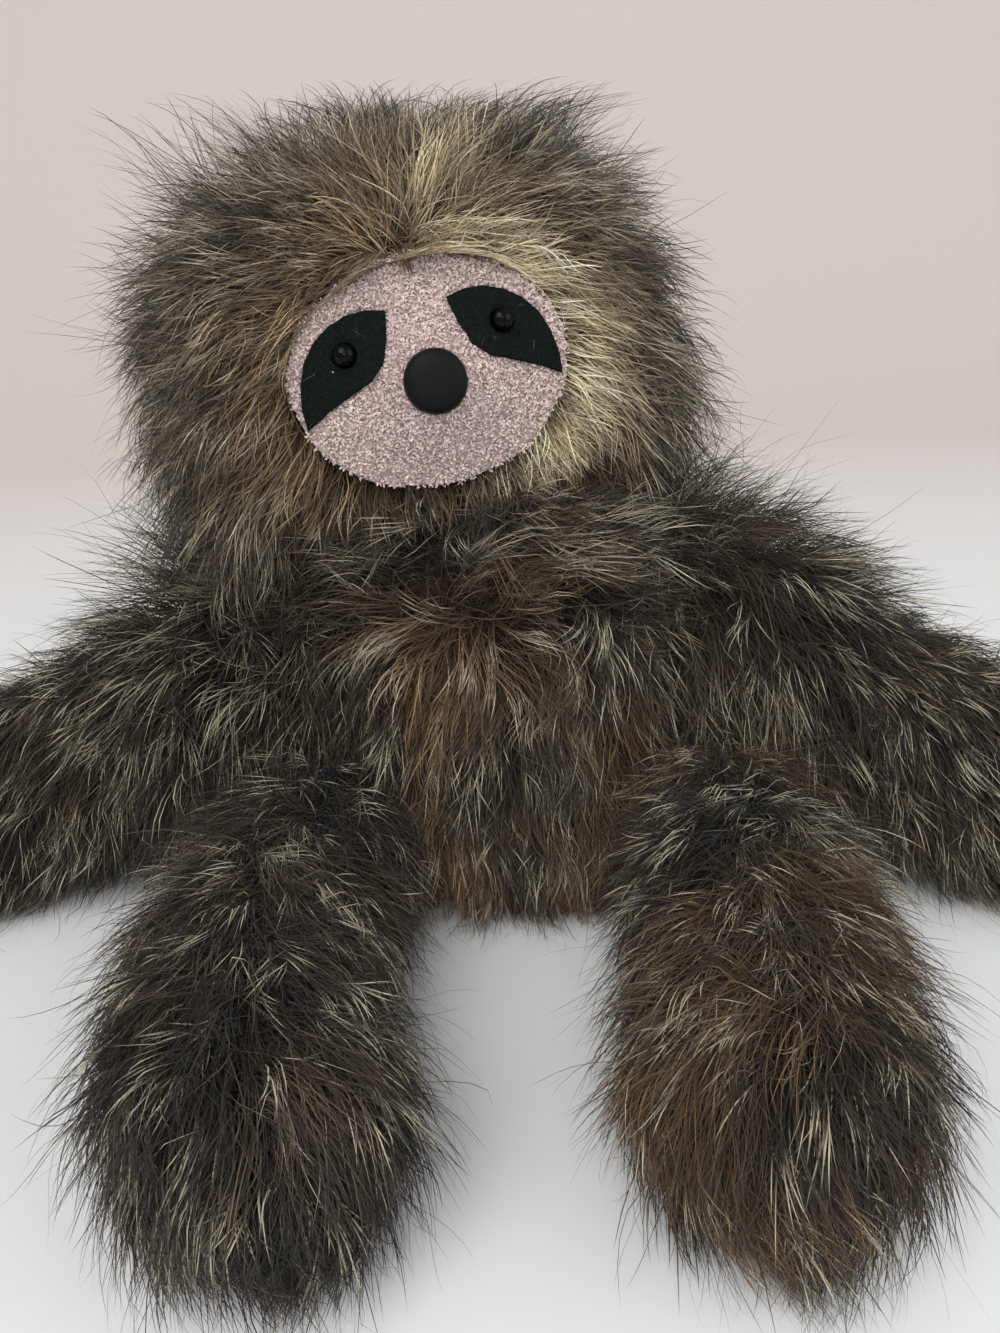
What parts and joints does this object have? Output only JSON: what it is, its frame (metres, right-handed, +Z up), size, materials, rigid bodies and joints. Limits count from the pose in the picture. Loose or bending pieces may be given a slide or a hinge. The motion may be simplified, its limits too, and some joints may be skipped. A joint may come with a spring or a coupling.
{
  "type": "plush sloth",
  "caption": "Seated long-pile plush sloth with its legs forward and its arms spread, a terry face, felt eye patches, bead eyes and a button nose; its neck, shoulders and hips turn.",
  "frame": {"origin": "on the table under the middle of the body, on the seat's flat face", "axes": "+Z up, the toy faces -Y, and +X is the toy's own left, along its spread arms"},
  "size_m": [0.574, 0.3309, 0.2971],
  "materials": {
    "long_pile_fur": "long shaggy pile",
    "face_terry": "short looped pile",
    "patch_felt": "felt",
    "eye_bead": "polished",
    "nose_button": "matte",
    "backing_cloth": "knitted",
    "fibre_filling": "loose fibre",
    "pellet_bag": "woven bag of pellets",
    "locking_washer": "moulded"
  },
  "bodies": {
    "body": {"body_cover": "long_pile_fur", "body_stuffing": "fibre_filling", "seat_pellet_bag": "pellet_bag"},
    "neck": {"neck_collar": "backing_cloth"},
    "head": {"head_cover": "long_pile_fur", "head_stuffing": "fibre_filling", "face_panel": "face_terry", "left_eye_patch": "patch_felt", "right_eye_patch": "patch_felt", "left_eye": "eye_bead", "right_eye": "eye_bead", "left_eye_washer": "locking_washer", "right_eye_washer": "locking_washer", "nose": "nose_button", "nose_washer": "locking_washer"},
    "left_arm": {"left_arm_cover": "long_pile_fur", "left_arm_stuffing": "fibre_filling"},
    "left_leg": {"left_leg_cover": "long_pile_fur", "left_leg_stuffing": "fibre_filling"},
    "right_arm": {"right_arm_cover": "long_pile_fur", "right_arm_stuffing": "fibre_filling"},
    "right_leg": {"right_leg_cover": "long_pile_fur", "right_leg_stuffing": "fibre_filling"}
  },
  "joints": [
    {"name": "neck_turn", "type": "hinge", "parent": "body", "child": "neck", "pos_m": [-0.01992, -0.008, 0.106], "axis": [0, 0, 1], "range_deg": [-25, 25]},
    {"name": "head_nod", "type": "hinge", "parent": "neck", "child": "head", "pos_m": [-0.01992, -0.008, 0.106], "axis": [0.9746, 0.1666, 0.1495], "range_deg": [-5, 20]},
    {"name": "left_shoulder", "type": "hinge", "parent": "body", "child": "left_arm", "pos_m": [0.06473, 0.00936, 0.117], "axis": [0, -0.5, -0.866], "range_deg": [-15, 20]},
    {"name": "right_shoulder", "type": "hinge", "parent": "body", "child": "right_arm", "pos_m": [-0.09834, 0.01018, 0.103], "axis": [0, 0.5, 0.866], "range_deg": [-10, 28]},
    {"name": "left_hip", "type": "hinge", "parent": "body", "child": "left_leg", "pos_m": [0.07561, -0.06041, 0.044], "axis": [-1, 0, 0], "range_deg": [-45, 30]},
    {"name": "right_hip", "type": "hinge", "parent": "body", "child": "right_leg", "pos_m": [-0.08551, -0.06041, 0.044], "axis": [-1, 0, 0], "range_deg": [-45, 30]}
  ]
}
